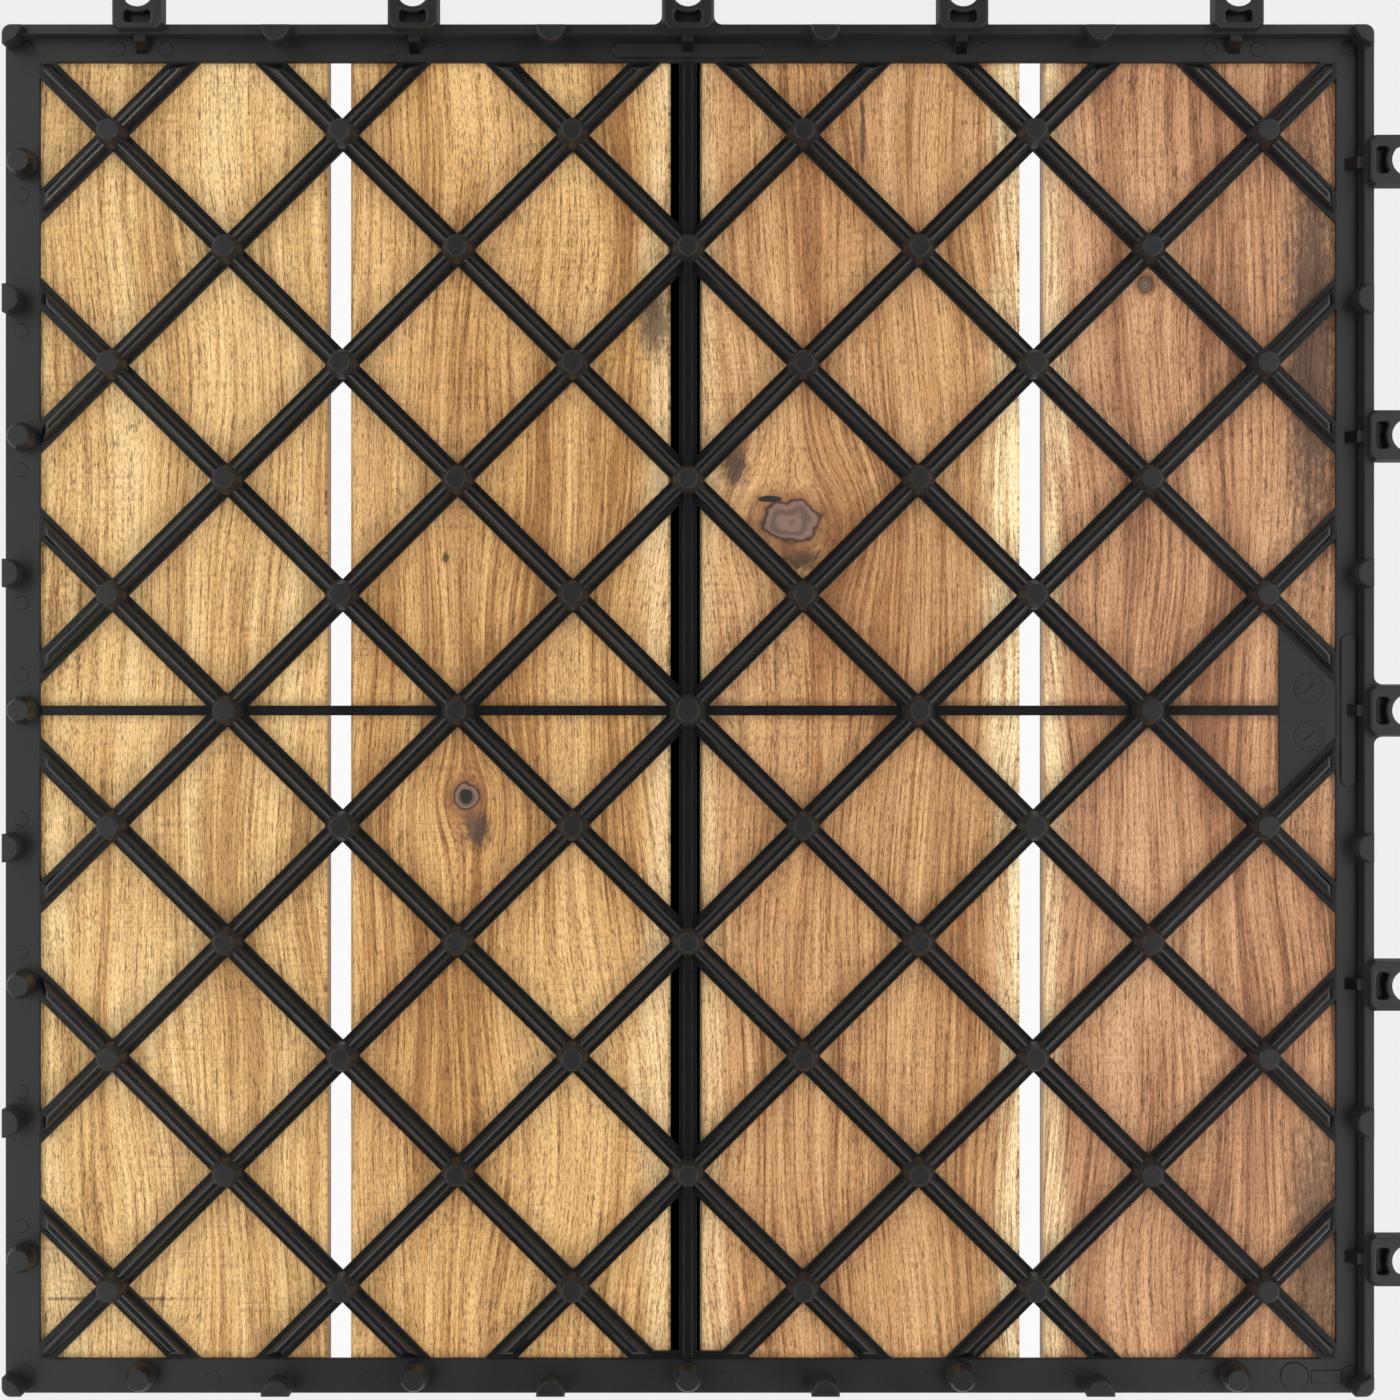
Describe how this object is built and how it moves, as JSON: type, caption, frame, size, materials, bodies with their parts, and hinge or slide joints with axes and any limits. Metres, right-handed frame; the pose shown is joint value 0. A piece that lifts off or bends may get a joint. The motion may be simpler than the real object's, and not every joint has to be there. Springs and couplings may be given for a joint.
{
  "type": "interlocking deck tile",
  "caption": "Square deck tile, underside up: wooden slats on a black ribbed plastic grid with feet, snap tabs and pegs.",
  "frame": {"origin": "middle of the tile's outline, tabs included, on the deck face, which lies down", "axes": "+Z from the deck face towards the feet, +Y along the slats, +X and +Y towards the sides with snap tabs; as in the picture the tile lies face down, and in use it is turned over"},
  "size_m": [0.3126, 0.3126, 0.024],
  "materials": {
    "black_plastic": "satin",
    "acacia": "oiled"
  },
  "bodies": {
    "root": {"base_grid": "black_plastic", "slat_1": "acacia", "slat_2": "acacia", "slat_3": "acacia", "slat_4": "acacia"}
  },
  "joints": []
}
